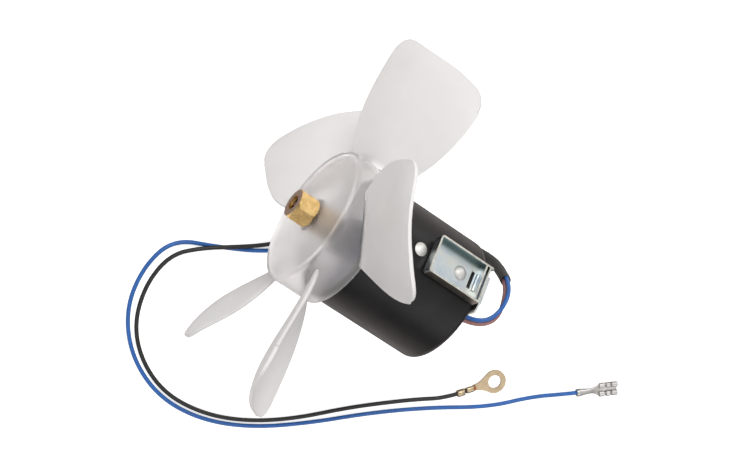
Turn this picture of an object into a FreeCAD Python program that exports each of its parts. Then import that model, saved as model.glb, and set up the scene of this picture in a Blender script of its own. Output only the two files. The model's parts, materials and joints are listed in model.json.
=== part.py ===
import FreeCAD, Part
import math
import os

# Heater fan motor: a small low-voltage motor in a round steel can, with a five-blade moulded fan on its
# shaft, a folded clip bracket riveted to the can, and two leads that end in a spade and a ring terminal.
# Millimetres. The origin is on the motor's axis at the middle of the can's length. +X runs along the axis
# towards the fan and +Z stands square to it. An angle round the axis is 0 at -Y and 90 at +Z.

V = FreeCAD.Vector
ORIGIN = V(0, 0, 0)
AXIS = V(1, 0, 0)

# Can, drawn in one piece with its closed end at the rear
can_radius = 31.75
can_length = 62.0
can_wall = 1.6
can_corner = 4.0

# Pressed front plate and the bearing housings in both ends
front_plate_inset = 0.8
front_plate_thickness = 1.6
housing_radius = 10.3
housing_depth = 7.1
felt_thickness = 1.5
felt_bore_clearance = 0.6
housing_hole_clearance = 0.8
retainer_thickness = 0.6
retainer_radius = 11.4
retainer_bore = 5.0
retainer_notch_reach = 8.0
plate_housing_rounding = 1.2

# Shaft and what turns with it
shaft_radius = 3.0
bearing_clearance = 0.03
shaft_rear_gap = 0.5
shaft_chamfer = 0.5
thrust_gap = 0.3
thrust_washer_radius = 6.0
thrust_washer_thickness = 0.7
slot_count = 10
slot_width = 2.8
slot_bottom_share = 0.54
slot_fill_clearance = 0.15
winding_drop = 1.7
winding_bore = 8.0
winding_end = 5.0
winding_rounding = 2.2
commutator_radius = 9.0
commutator_rear_gap = 0.1
commutator_front_gap = 1.0
commutator_length = 12.0
riser_radius = 10.2
riser_length = 1.5
commutator_groove = 0.5
commutator_groove_depth = 0.7
spacer_radius = 5.2
winding_front_gap = 4.6

# Magnets and the springs that spread them apart
magnet_thickness = 5.95
air_gap = 1.0
magnet_overhang = 2.0
magnet_gap_spread = 50.0
magnet_spring_sheet = 0.8
magnet_spring_rear_inset = 4.0
magnet_spring_front_inset = 2.0
magnet_spring_leg_gap = 0.8

# Rivets through the can, on the line of the bracket and opposite it
fixing_angle = 62.0
rivet_head_radius = 3.3
rivet_head_height = 1.2
rivet_shank_radius = 1.6
rivet_tail_radius = 2.6
rivet_tail_height = 1.0

# Brush plate, brush boxes, springs and brushes
brush_plate_rear_gap = 3.0
brush_plate_thickness = 1.5
brush_plate_hole = 11.5
brush_width_x = 5.0
brush_width_y = 6.0
brush_length = 9.0
brush_play = 0.1
brush_seat_gap = 0.05
brush_box_wall = 0.8
brush_box_inner_end = 10.8
brush_box_outer_gap = 2.15
brush_spring_radius = 2.1
brush_spring_wire = 0.3
brush_spring_turns = 5
tag_width = 1.8
tag_height = 6.0
tag_thickness = 0.8

# Fan: a cup hub with five twisted and cambered blades
blade_count = 5
first_blade_angle = 0.7
hub_front_gap = 20.0
hub_can_clearance = 1.65
hub_depth = 22.0
hub_wall = 1.6
hub_edge_rounding = 2.5
boss_radius = 8.5
boss_length = 9.4
tip_radius = 94.6
blade_thickness = 1.8
# Leading and trailing edges: angle and distance behind the hub's front face, at the root and at the tip.
# Each edge bows by its own amount half way out, and a skew moves that bow inward or outward.
lead_root_angle = -21.7
lead_root_setback = 6.6
lead_tip_angle = -13.2
lead_tip_setback = -3.8
lead_bow_angle = -3.3
lead_bow_setback = -1.5
lead_skew_angle = -6.2
lead_skew_setback = 0.5
trail_root_angle = 27.5
trail_root_setback = 19.9
trail_tip_angle = 20.0
trail_tip_setback = 27.1
trail_bow_angle = 1.3
trail_bow_setback = 3.8
trail_skew_angle = -0.3
trail_skew_setback = 0.8
root_camber = 0.8
tip_camber = 6.2
bow_camber = 1.5
lead_corner_radius = 11.0
trail_corner_radius = 10.0
blade_stations = 7

# Split collet and its hexagon nut
collet_flange_radius = 7.0
collet_flange_thickness = 1.4
collet_body_radius = 5.5
collet_thread_radius = 4.9
collet_slit = 0.8
collet_slit_length = 6.0
nut_across_flats = 14.0
nut_turn = 33.0
nut_length = 10.4
nut_lip = 1.4
nut_hole_radius = 3.6
nut_chamfer = 1.2
collet_end_gap = 0.2
shaft_end_gap = 0.6

# Folded bracket tray and the strap under it, drawn at 90 degrees and turned to fixing_angle
sheet = 0.9
strap_width = 14.0
strap_front_gap = 7.3
strap_grommet_gap = 3.25
strap_tail_extra = 4.5
tray_rear_gap = 3.3
tray_rivet_gap = 1.3
tray_width = 19.6
tray_height = 5.2
tray_channel_gap = 1.3
tray_corner_rounding = 1.5
bracket_rivet_setback = 12.4
bracket_rivet_head_radius = 3.6
bracket_rivet_head_height = 1.9
bracket_rivet_shank_radius = 1.9
bracket_slot_setback = 6.0
bracket_slot_width = 1.8
bracket_slot_length = 8.8
bead_setback = 3.1
bead_radius = 1.1
bead_length = 9.0

# Leads, grommet and terminals. The leads lie on a surface just under the fan's sweep.
wire_radius = 1.1
wire_pair_spacing = 2.3
brown_stand_off = 0.45
lead_run_in = 9.0
surface_clearance = 7.0
grommet_y = 1.5
grommet_z = 17.5
grommet_bore_clearance = 0.1
grommet_neck_wall = 2.1
grommet_flange = 1.4
grommet_flange_thickness = 1.4
grommet_flange_rounding = 0.4
sleeve_bore = 2.7
sleeve_wall = 0.4
sleeve_top_z = -16.5
sleeve_bottom_share = 0.836
splice_radius = 1.18
splice_start = 13.0
splice_length = 6.0
crimp_radius = 1.8
crimp_length = 6.0
ring_outer_radius = 6.1
ring_hole_radius = 3.25
ring_thickness = 0.8
ring_reach = 20.6
ring_neck_width = 4.2
ring_heading = (-0.680, -0.733)
spade_heading = (-0.807, -0.591)
spade_width = 7.6
spade_box_length = 10.6
spade_length = 23.7
spade_box_height = 2.6
spade_sheet = 0.5
spade_neck_width = 3.4
spade_lip = 2.6

# Places worked out from the sizes above
can_front_x = can_length / 2
can_rear_x = -can_length / 2
can_bore = can_radius - can_wall
rear_inner_x = can_rear_x + can_wall
plate_front_x = can_front_x - front_plate_inset
plate_rear_x = plate_front_x - front_plate_thickness
housing_bore = housing_radius - can_wall
front_housing_end_x = plate_rear_x + housing_depth + can_wall
rear_housing_end_x = rear_inner_x - housing_depth - can_wall
bearing_length = housing_depth - felt_thickness
hub_front_x = can_front_x + hub_front_gap
hub_rear_x = hub_front_x - hub_depth
hub_bore = can_radius + hub_can_clearance
hub_radius = hub_bore + hub_wall
hub_inner_front_x = hub_front_x - hub_wall
boss_rear_x = hub_inner_front_x - boss_length
nut_front_x = hub_front_x + nut_length
collet_end_x = nut_front_x - nut_lip - collet_end_gap
shaft_front_x = collet_end_x - shaft_end_gap
shaft_rear_x = rear_inner_x - housing_depth + shaft_rear_gap
surface_z = -tip_radius - surface_clearance
lead_z = surface_z + wire_radius
sleeve_bottom_z = lead_z * sleeve_bottom_share
terminal_z = surface_z + crimp_radius
plate_rear_face_x = rear_inner_x + brush_plate_rear_gap
brush_plate_front = plate_rear_face_x + brush_plate_thickness
brush_centre_x = brush_plate_front + brush_box_wall + brush_play + brush_width_x / 2
brush_inner_z = commutator_radius + brush_seat_gap
brush_box_outer_end = can_bore - brush_box_outer_gap
commutator_start = brush_plate_front - commutator_rear_gap
magnet_inner_radius = can_bore - magnet_thickness
core_radius = magnet_inner_radius - air_gap
core_start = commutator_start + commutator_length + commutator_front_gap + winding_end
core_length = plate_rear_x - winding_front_gap - winding_end - core_start
slot_bottom_radius = core_radius * slot_bottom_share
winding_radius = core_radius - winding_drop
magnet_start = core_start - magnet_overhang
magnet_length = core_length + magnet_overhang * 2
magnet_spring_start = magnet_start + magnet_spring_rear_inset
magnet_spring_length = magnet_length - magnet_spring_rear_inset - magnet_spring_front_inset
magnet_spring_leg_radius = magnet_inner_radius + magnet_spring_leg_gap
rivet_x = magnet_spring_start + magnet_spring_length / 2
tray_floor_z = can_radius + sheet
tray_top_z = tray_floor_z + tray_height
tray_rear_x = can_rear_x + tray_rear_gap
tray_front_x = rivet_x - rivet_head_radius - tray_rivet_gap
bracket_rivet_x = tray_rear_x + bracket_rivet_setback
bracket_slot_x = tray_rear_x + bracket_slot_setback
bead_x = tray_rear_x + bead_setback
strap_front_x = bracket_rivet_x + strap_front_gap
tag_rear_x = plate_rear_face_x - tag_thickness
blue_y = grommet_y - wire_pair_spacing / 2
brown_y = grommet_y + wire_pair_spacing / 2
grommet_neck_radius = wire_pair_spacing / 2 + wire_radius + grommet_neck_wall
grommet_flange_radius = grommet_neck_radius + grommet_flange
grommet_height = (grommet_z * math.sin(math.radians(fixing_angle))
                  - grommet_y * math.cos(math.radians(fixing_angle)))
strap_tail_bottom = grommet_height + grommet_flange_radius + strap_grommet_gap


def around(angle, radius, x):
    turn = math.radians(angle)
    return V(x, -radius * math.cos(turn), radius * math.sin(turn))


def rod(x0, x1, radius):
    return Part.makeCylinder(radius, x1 - x0, V(x0, 0, 0), AXIS)


def ring(x0, x1, outer, inner):
    return rod(x0, x1, outer).cut(rod(x0, x1, inner))


def block(x0, x1, y0, y1, z0, z1):
    return Part.makeBox(x1 - x0, y1 - y0, z1 - z0, V(x0, y0, z0))


def turned(points):
    wire = Part.makePolygon([V(x, r, 0) for x, r in points + points[:1]])
    return Part.Face(wire).revolve(ORIGIN, AXIS, 360)


def turn_to(shape, angle):
    result = shape.copy()
    result.rotate(ORIGIN, AXIS, 90 - angle)
    return result


def round_circles(shape, radius, places):
    chosen = []
    for edge in shape.Edges:
        curve = edge.Curve
        if not isinstance(curve, Part.Circle):
            continue
        for x, r in places:
            if abs(curve.Center.x - x) < 0.01 and abs(curve.Radius - r) < 0.01:
                chosen.append(edge)
    return shape.makeFillet(radius, chosen)


def sector(x0, x1, outer, inner, angle, spread):
    far = outer * 2
    half = spread / 2
    corners = [V(x0, 0, 0)]
    for step in (-half, 0, half):
        corners.append(around(angle + step, far, x0))
    corners.append(corners[0])
    wedge = Part.Face(Part.makePolygon(corners)).extrude(V(x1 - x0, 0, 0))
    return ring(x0, x1, outer, inner).common(wedge)


def radial_rod(angle, x, radius, inner, outer):
    return Part.makeCylinder(radius, outer - inner, around(angle, inner, x), around(angle, 1, 0))


def dome(radius, height):
    ball_radius = (radius * radius + height * height) / (2 * height)
    ball = Part.makeSphere(ball_radius, V(0, 0, height - ball_radius))
    return ball.common(block(-radius * 2, radius * 2, -radius * 2, radius * 2, 0, height * 2))


def can():
    points = [
        (can_front_x, can_radius), (can_rear_x, can_radius), (can_rear_x, housing_radius),
        (rear_housing_end_x, housing_radius), (rear_housing_end_x, 0), (rear_inner_x - housing_depth, 0),
        (rear_inner_x - housing_depth, housing_bore), (rear_inner_x, housing_bore),
        (rear_inner_x, can_bore), (can_front_x, can_bore)]
    shell = turned(points)
    shell = round_circles(shell, can_corner, [(can_rear_x, can_radius)])
    shell = round_circles(shell, can_corner - can_wall, [(rear_inner_x, can_bore)])
    shell = round_circles(shell, can_wall, [(rear_housing_end_x, housing_radius)])
    for angle in (fixing_angle, fixing_angle + 180):
        shell = shell.cut(radial_rod(angle, rivet_x, rivet_shank_radius, can_bore - 1, can_radius + 1))
    hole = radial_rod(fixing_angle, bracket_rivet_x, bracket_rivet_shank_radius, can_bore - 1, can_radius + 1)
    shell = shell.cut(hole)
    return shell.cut(grommet_neck(can_rear_x - 1, rear_inner_x + 1))


def front_plate():
    points = [
        (plate_rear_x, can_bore), (plate_rear_x, housing_bore),
        (plate_rear_x + housing_depth, housing_bore),
        (plate_rear_x + housing_depth, shaft_radius + housing_hole_clearance),
        (front_housing_end_x, shaft_radius + housing_hole_clearance), (front_housing_end_x, housing_radius),
        (plate_front_x, housing_radius), (plate_front_x, can_bore)]
    return round_circles(turned(points), plate_housing_rounding, [(front_housing_end_x, housing_radius)])


def bearing(mouth_x, inward):
    ends = sorted((mouth_x, mouth_x + inward * bearing_length))
    return ring(ends[0], ends[1], housing_bore, shaft_radius + bearing_clearance)


def felt(mouth_x, inward):
    ends = sorted((mouth_x + inward * bearing_length, mouth_x + inward * housing_depth))
    return ring(ends[0], ends[1], housing_bore, shaft_radius + felt_bore_clearance)


def retainer(mouth_x, inward):
    ends = sorted((mouth_x, mouth_x - inward * retainer_thickness))
    plate = ring(ends[0], ends[1], retainer_radius, retainer_bore)
    for angle in (0, 120, 240):
        notch = radial_rod(angle, (ends[0] + ends[1]) / 2, retainer_thickness * 2, retainer_bore - 1,
                           retainer_notch_reach)
        plate = plate.cut(notch)
    return plate


def shaft():
    bar = rod(shaft_rear_x, shaft_front_x, shaft_radius)
    return bar.makeChamfer(shaft_chamfer, [e for e in bar.Edges if isinstance(e.Curve, Part.Circle)])


def armature_core():
    core = ring(core_start, core_start + core_length, core_radius, shaft_radius)
    for index in range(slot_count):
        slot = block(core_start, core_start + core_length, -slot_width / 2, slot_width / 2,
                     slot_bottom_radius, core_radius + 1)
        core = core.cut(turn_to(slot, index * 360 / slot_count))
    return core


def armature_winding():
    core_end = core_start + core_length
    ends = []
    for x0, x1, outer_x in ((core_start - winding_end, core_start, core_start - winding_end),
                            (core_end, core_end + winding_end, core_end + winding_end)):
        coil = ring(x0, x1, winding_radius, winding_bore)
        ends.append(round_circles(coil, winding_rounding, [(outer_x, winding_radius)]))
    half = slot_width / 2 - slot_fill_clearance
    bars = []
    for index in range(slot_count):
        bar = block(core_start, core_end, -half, half, slot_bottom_radius, winding_radius - 1)
        bars.append(turn_to(bar, index * 360 / slot_count))
    return ends[0].multiFuse([ends[1]] + bars).removeSplitter()


def commutator():
    end = commutator_start + commutator_length
    body = ring(commutator_start, end, commutator_radius, shaft_radius)
    body = body.fuse(ring(end - riser_length, end, riser_radius, shaft_radius))
    for index in range(slot_count):
        groove = block(commutator_start, end, -commutator_groove / 2, commutator_groove / 2,
                       commutator_radius - commutator_groove_depth, riser_radius + 1)
        body = body.cut(turn_to(groove, index * 360 / slot_count))
    return body


def front_spacer():
    end = plate_rear_x - retainer_thickness - thrust_gap - thrust_washer_thickness
    return ring(core_start + core_length, end, spacer_radius, shaft_radius)


def thrust_washer(face_x, away):
    ends = sorted((face_x, face_x + away * thrust_washer_thickness))
    return ring(ends[0], ends[1], thrust_washer_radius, shaft_radius)


def magnet(angle):
    spread = 180 - magnet_gap_spread
    return sector(magnet_start, magnet_start + magnet_length, can_bore, magnet_inner_radius, angle, spread)


def magnet_spring(angle):
    x0 = magnet_spring_start
    x1 = magnet_spring_start + magnet_spring_length
    base_inner = can_bore - magnet_spring_sheet
    spring = sector(x0, x1, can_bore, base_inner, angle, magnet_gap_spread)
    leg_spread = math.degrees(magnet_spring_sheet / can_bore)
    for side in (-1, 1):
        leg_angle = angle + side * (magnet_gap_spread - leg_spread) / 2
        spring = spring.fuse(sector(x0, x1, can_bore, magnet_spring_leg_radius, leg_angle, leg_spread))
    hole = radial_rod(angle, rivet_x, rivet_shank_radius, base_inner - 1, can_bore + 1)
    return spring.cut(hole)


def can_rivet(angle):
    tail_outer = can_bore - magnet_spring_sheet
    head = dome(rivet_head_radius, rivet_head_height)
    head.translate(V(rivet_x, 0, can_radius))
    head = turn_to(head, angle)
    tail_inner = tail_outer - rivet_tail_height
    shank = radial_rod(angle, rivet_x, rivet_shank_radius, tail_inner, can_radius + rivet_head_height / 2)
    tail = radial_rod(angle, rivet_x, rivet_tail_radius, tail_inner, tail_outer)
    rear_x = rivet_x - rivet_head_radius
    front_x = rivet_x + rivet_head_radius
    outside = head.cut(rod(rear_x, front_x, can_radius))
    inside = tail.common(rod(rear_x, front_x, tail_outer))
    return outside.multiFuse([shank, inside])


def brush_plate():
    return ring(plate_rear_face_x, brush_plate_front, can_bore, brush_plate_hole)


def brush_box(angle):
    half_x = brush_width_x / 2 + brush_play
    half_y = brush_width_y / 2 + brush_play
    wall = brush_box_wall
    outer = block(brush_centre_x - half_x - wall, brush_centre_x + half_x + wall,
                  -half_y - wall, half_y + wall, brush_box_inner_end, brush_box_outer_end + wall)
    inner = block(brush_centre_x - half_x, brush_centre_x + half_x, -half_y, half_y,
                  brush_box_inner_end - 1, brush_box_outer_end)
    return turn_to(outer.cut(inner), angle)


def brush(angle):
    body = block(brush_centre_x - brush_width_x / 2, brush_centre_x + brush_width_x / 2,
                 -brush_width_y / 2, brush_width_y / 2, 0, brush_inner_z + brush_length)
    body = body.cut(rod(brush_centre_x - brush_width_x, brush_centre_x + brush_width_x, brush_inner_z))
    return turn_to(body, angle)


def brush_spring(angle):
    start = brush_inner_z + brush_length + brush_spring_wire
    length = brush_box_outer_end - start - brush_spring_wire
    path = Part.makeHelix(length / brush_spring_turns, length, brush_spring_radius)
    circle = Part.Circle(V(brush_spring_radius, 0, 0), V(0, 1, 0), brush_spring_wire)
    profile = Part.Wire(circle.toShape())
    coil = Part.Wire(path).makePipeShell([profile], True, True)
    coil.translate(V(brush_centre_x, 0, start))
    return turn_to(coil, angle)


def blade_value(share, root, tip, bow, skew):
    arch = 4 * share * (1 - share)
    return root + (tip - root) * share + arch * (bow + skew * (1 - 2 * share))


def blade_edges(share):
    radius = hub_radius + (tip_radius - hub_radius) * share
    lead_angle = blade_value(share, lead_root_angle, lead_tip_angle, lead_bow_angle, lead_skew_angle)
    trail_angle = blade_value(share, trail_root_angle, trail_tip_angle, trail_bow_angle, trail_skew_angle)
    lead_setback = blade_value(share, lead_root_setback, lead_tip_setback, lead_bow_setback,
                               lead_skew_setback)
    trail_setback = blade_value(share, trail_root_setback, trail_tip_setback, trail_bow_setback,
                                trail_skew_setback)
    lead = around(lead_angle, radius, hub_front_x - lead_setback)
    trail = around(trail_angle, radius, hub_front_x - trail_setback)
    return lead, trail, around((lead_angle + trail_angle) / 2, 1, 0)


def blade_middle(share):
    lead, trail, outward = blade_edges(share)
    chord = (trail - lead).normalize()
    camber = blade_value(share, root_camber, tip_camber, bow_camber, 0)
    return (lead + trail) * 0.5 + chord.cross(outward) * camber


def blade_section(share):
    lead, trail, outward = blade_edges(share)
    middle = blade_middle(share)
    circle = Part.Arc(lead, middle, trail).toShape().Curve
    centre = circle.Center
    grow = blade_thickness / 2 / circle.Radius

    def moved(point, sign):
        return centre + (point - centre) * (1 + sign * grow)

    chord = (trail - lead).normalize() * (blade_thickness / 2)
    edges = [
        Part.Arc(moved(lead, 1), moved(middle, 1), moved(trail, 1)).toShape(),
        Part.Arc(moved(trail, 1), trail + chord, moved(trail, -1)).toShape(),
        Part.Arc(moved(trail, -1), moved(middle, -1), moved(lead, -1)).toShape(),
        Part.Arc(moved(lead, -1), lead - chord, moved(lead, 1)).toShape()]
    return Part.Wire(edges)


def tip_edge(share):
    lead, trail, outward = blade_edges(1)
    arc = Part.Arc(lead, blade_middle(1), trail)
    point = arc.value(arc.FirstParameter + (arc.LastParameter - arc.FirstParameter) * share)
    return point + outward * (tip_radius - math.hypot(point.y, point.z))


def edge_point(edge, corner, start, reach):
    # The point of the edge that is one reach from the corner, found by halving between start and the middle
    near = start
    far = 0.5
    for step in range(24):
        middle = (near + far) / 2
        if (edge(middle) - corner).Length < reach:
            near = middle
        else:
            far = middle
    return edge(near)


def corner_cutter(tip_start, side_edge, radius):
    corner = tip_edge(tip_start)
    reach = radius
    for step in range(4):
        first = (edge_point(tip_edge, corner, tip_start, reach) - corner).normalize()
        second = (edge_point(side_edge, corner, 1, reach) - corner).normalize()
        half = first.getAngle(second) / 2
        reach = radius / math.tan(half)
    middle = (first + second).normalize()
    centre = corner + middle * (radius / math.sin(half))
    start = corner + first * reach
    end = corner + second * reach
    rounding = Part.Arc(start, centre - middle * radius, end).toShape()
    out_start = start - second * radius
    out_end = end - first * radius
    far = corner - middle * (radius * 2)
    outline = [rounding, Part.LineSegment(end, out_end).toShape(), Part.LineSegment(out_end, far).toShape(),
               Part.LineSegment(far, out_start).toShape(), Part.LineSegment(out_start, start).toShape()]
    face = Part.Face(Part.Wire(outline))
    normal = first.cross(second).normalize() * (radius * 2)
    face.translate(normal * -0.5)
    return face.extrude(normal)


def blade():
    root_share = -hub_wall / 2 / (tip_radius - hub_radius)
    past_tip_share = 1 + 3 / (tip_radius - hub_radius)
    step = (past_tip_share - root_share) / (blade_stations - 1)
    body = Part.makeLoft([blade_section(root_share + step * index) for index in range(blade_stations)],
                         True, False)
    body = body.common(rod(0, hub_front_x * 2, tip_radius))
    lead_cut = corner_cutter(0, lambda share: blade_edges(share)[0], lead_corner_radius)
    trail_cut = corner_cutter(1, lambda share: blade_edges(share)[1], trail_corner_radius)
    return body.cut(lead_cut).cut(trail_cut)


def fan():
    cup = round_circles(rod(hub_rear_x, hub_front_x, hub_radius), hub_edge_rounding,
                        [(hub_front_x, hub_radius)])
    pattern = blade()
    blades = []
    for index in range(blade_count):
        copy = pattern.copy()
        copy.rotate(ORIGIN, AXIS, -first_blade_angle - index * 360 / blade_count)
        blades.append(copy)
    cup = cup.multiFuse(blades)
    hollow = rod(hub_rear_x - 1, hub_inner_front_x, hub_bore)
    hollow = round_circles(hollow, hub_edge_rounding - hub_wall / 2, [(hub_inner_front_x, hub_bore)])
    cup = cup.cut(hollow)
    cup = cup.fuse(rod(boss_rear_x, hub_inner_front_x, boss_radius))
    return cup.cut(rod(boss_rear_x - 1, hub_front_x + 1, collet_body_radius))


def collet():
    body = ring(boss_rear_x, hub_front_x, collet_body_radius, shaft_radius)
    flange_rear_x = boss_rear_x - collet_flange_thickness
    body = body.fuse(ring(flange_rear_x, boss_rear_x, collet_flange_radius, shaft_radius))
    body = body.fuse(ring(hub_front_x, collet_end_x, collet_thread_radius, shaft_radius))
    for angle in (0, 90):
        slit = block(collet_end_x - collet_slit_length, collet_end_x, -collet_slit / 2, collet_slit / 2,
                     -collet_thread_radius - 1, collet_thread_radius + 1)
        body = body.cut(turn_to(slit, angle + 45))
    return body


def collet_nut():
    corner = nut_across_flats / math.sqrt(3)
    corners = [around(nut_turn + 60 * step, corner, hub_front_x) for step in range(7)]
    nut = Part.Face(Part.makePolygon(corners)).extrude(V(nut_length, 0, 0))
    envelope = rod(hub_front_x, nut_front_x, corner)
    rims = [edge for edge in envelope.Edges if isinstance(edge.Curve, Part.Circle)]
    envelope = envelope.makeChamfer(nut_chamfer, rims)
    nut = nut.common(envelope)
    nut = nut.cut(rod(hub_front_x, nut_front_x - nut_lip, collet_thread_radius))
    return nut.cut(rod(hub_front_x, nut_front_x + 1, nut_hole_radius))


def bracket_hole(inner, outer):
    rivet_hole = Part.makeCylinder(bracket_rivet_shank_radius, outer - inner, V(bracket_rivet_x, 0, inner))
    half = bracket_slot_length / 2
    slot = block(bracket_slot_x - bracket_slot_width / 2, bracket_slot_x + bracket_slot_width / 2,
                 -half, half, inner, outer)
    return rivet_hole.fuse(slot)


def bracket_strap():
    rear_x = can_rear_x - sheet
    half = strap_width / 2
    top = block(rear_x, strap_front_x, -half, half, can_radius, tray_floor_z)
    tail = block(rear_x, can_rear_x, -half, half + strap_tail_extra, strap_tail_bottom, tray_floor_z)
    tail = tail.common(rod(rear_x - 1, can_rear_x + 1, tray_floor_z))
    strap = top.fuse(tail).cut(bracket_hole(can_radius - 1, tray_floor_z + 1))
    return turn_to(strap, fixing_angle)


def mounting_bracket():
    half = tray_width / 2
    outer = block(tray_rear_x, tray_front_x, -half, half, tray_floor_z, tray_top_z)
    upright = [e for e in outer.Edges if abs(e.Vertexes[0].X - e.Vertexes[1].X) < 0.01
               and abs(e.Vertexes[0].Y - e.Vertexes[1].Y) < 0.01 and e.Vertexes[0].X > 0]
    outer = outer.makeFillet(tray_corner_rounding, upright)
    wall_x = tray_rear_x + sheet + tray_channel_gap
    inner = block(wall_x + sheet, tray_front_x - sheet, -half + sheet, half - sheet,
                  tray_floor_z + sheet, tray_top_z + 1)
    channel = block(tray_rear_x + sheet, wall_x, -half + sheet, half - sheet,
                    tray_floor_z + sheet, tray_top_z + 1)
    tray = outer.cut(inner).cut(channel)
    bead = Part.makeCylinder(bead_radius, bead_length, V(bead_x, -bead_length / 2, tray_floor_z + sheet),
                             V(0, 1, 0))
    bead = bead.common(block(tray_rear_x, tray_front_x, -half, half, tray_floor_z + sheet / 2, tray_top_z))
    tray = tray.fuse(bead)
    ear_end_x = tray_rear_x - sheet * 2
    ear = block(ear_end_x, tray_rear_x, -half, -half + sheet, tray_floor_z + sheet * 2, tray_top_z)
    ear_rounding = [e for e in ear.Edges if abs(e.Vertexes[0].X - ear_end_x) < 0.01
                    and abs(e.Vertexes[1].X - ear_end_x) < 0.01
                    and abs(e.Vertexes[0].Z - e.Vertexes[1].Z) < 0.01]
    tray = tray.fuse(ear.makeFillet(sheet * 1.2, ear_rounding))
    tray = tray.cut(bracket_hole(tray_floor_z - 1, tray_floor_z + sheet + 0.01))
    return turn_to(tray, fixing_angle)


def bracket_rivet():
    head = dome(bracket_rivet_head_radius, bracket_rivet_head_height)
    head.translate(V(bracket_rivet_x, 0, tray_floor_z + sheet))
    tail_inner = can_bore - rivet_tail_height
    shank_end = tray_floor_z + sheet + bracket_rivet_head_height / 2
    shank = Part.makeCylinder(bracket_rivet_shank_radius, shank_end - tail_inner,
                              V(bracket_rivet_x, 0, tail_inner))
    tail = Part.makeCylinder(bracket_rivet_head_radius, rivet_tail_height + 1,
                             V(bracket_rivet_x, 0, tail_inner))
    tail = tail.common(rod(bracket_rivet_x - bracket_rivet_head_radius,
                           bracket_rivet_x + bracket_rivet_head_radius, can_bore))
    return turn_to(head.multiFuse([shank, tail]), fixing_angle)


def grommet_neck(x0, x1):
    return Part.makeCylinder(grommet_neck_radius, x1 - x0, V(x0, grommet_y, grommet_z), AXIS)


def grommet():
    bore_radius = wire_pair_spacing / 2 + wire_radius + grommet_bore_clearance
    rear_x = can_rear_x - grommet_flange_thickness
    front_x = rear_inner_x + grommet_flange_thickness
    body = grommet_neck(rear_x, front_x)
    for x in (rear_x, rear_inner_x):
        flange = Part.makeCylinder(grommet_flange_radius, grommet_flange_thickness,
                                   V(x, grommet_y, grommet_z), AXIS)
        rims = [edge for edge in flange.Edges if isinstance(edge.Curve, Part.Circle)]
        body = body.fuse(flange.makeFillet(grommet_flange_rounding, rims))
    return body.cut(Part.makeCylinder(bore_radius, front_x - rear_x, V(rear_x, grommet_y, grommet_z), AXIS))


def lead_tag(y):
    return block(tag_rear_x, plate_rear_face_x, y - tag_width / 2, y + tag_width / 2,
                 grommet_z - tag_height / 2, grommet_z + tag_height / 2)


# The loop behind the motor and the drop to the surface. The sleeve follows drop_centre, and the two leads
# run beside it, half the pair's spacing to each side.
pair_side = V(-0.548, 0.837, 0)
drop_centre = [
    V(can_rear_x - 29.3, -20.6, -4.2), V(can_rear_x - 28.6, -28.6, -27.0),
    V(can_rear_x - 29.1, -29.6, 0.587 * lead_z), V(can_rear_x - 25.6, -27.1, 0.816 * lead_z),
    V(can_rear_x - 13.3, -18.9, lead_z)]
blue_loop = [
    V(tag_rear_x, blue_y, grommet_z), V(can_rear_x - 10.2, blue_y, grommet_z),
    V(can_rear_x - 22.9, -6.7, 1.6)]
brown_loop = [
    V(tag_rear_x, brown_y, grommet_z), V(can_rear_x - 12.0, brown_y, grommet_z),
    V(can_rear_x - 25.2, -5.3, 2.2), drop_centre[0] + V(-1.2, 1.1, -0.5)]

blue_surface = [
    (-20.9, -4.9), (1.1, 13.3), (21.1, 30.7), (44.9, 42.1), (67.1, 50.7), (72.3, 70.8), (67.7, 93.4),
    (51.6, 112.4), (27.7, 123.3), (1.3, 122.6), (-25.1, 112.5), (-51.5, 94.4), (-77.0, 73.3),
    (-104.6, 53.8), (-133.9, 36.5), (-151.9, 19.4)]
blue_end = V(-174.0, 3.5, terminal_z)

# The third value is how far the black lead is lifted where it rides over the blue one
black_surface = [
    (-30.2, -8.2, 0), (-17.4, 0.1, 2.9), (-4.1, 5.9, 2.9), (8.7, 14.0, 0), (24.2, 28.3, 0),
    (38.9, 37.6, 2.9), (52.0, 46.1, 2.9), (63.8, 57.8, 0), (66.2, 77.3, 0), (59.7, 97.7, 0),
    (45.0, 112.2, 0), (24.7, 120.4, 0), (1.3, 119.1, 0), (-20.8, 111.0, 0), (-42.7, 96.8, 0),
    (-64.8, 77.0, 0), (-85.2, 61.3, 0), (-97.4, 52.6, 0)]
black_end = V(-114.1, 38.9, terminal_z)


def run_in(end, heading):
    return end - V(heading[0], heading[1], 0).normalize() * lead_run_in


def beside(points, side):
    return [point + pair_side * (side * wire_pair_spacing / 2) for point in points]


def blue_route():
    floor = [V(x, y, lead_z) for x, y in blue_surface]
    return blue_loop + beside(drop_centre, -1) + floor + [run_in(blue_end, spade_heading), blue_end]


# The brown lead bends more tightly than the blue one here, so it stands a little further out
def brown_bend():
    return beside(drop_centre, 1)[1] + V(0, brown_stand_off, 0)


def splice_ends():
    top = brown_bend()
    bottom = beside(drop_centre, 1)[2]
    along = (bottom - top).normalize()
    start = top + along * splice_start
    return start, start + along * splice_length


def brown_route():
    return brown_loop + [brown_bend(), splice_ends()[0]]


def black_route():
    floor = [V(x, y, lead_z + lift) for x, y, lift in black_surface]
    end = [run_in(black_end, ring_heading), black_end]
    return [splice_ends()[1]] + beside(drop_centre, 1)[2:] + floor + end


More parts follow.
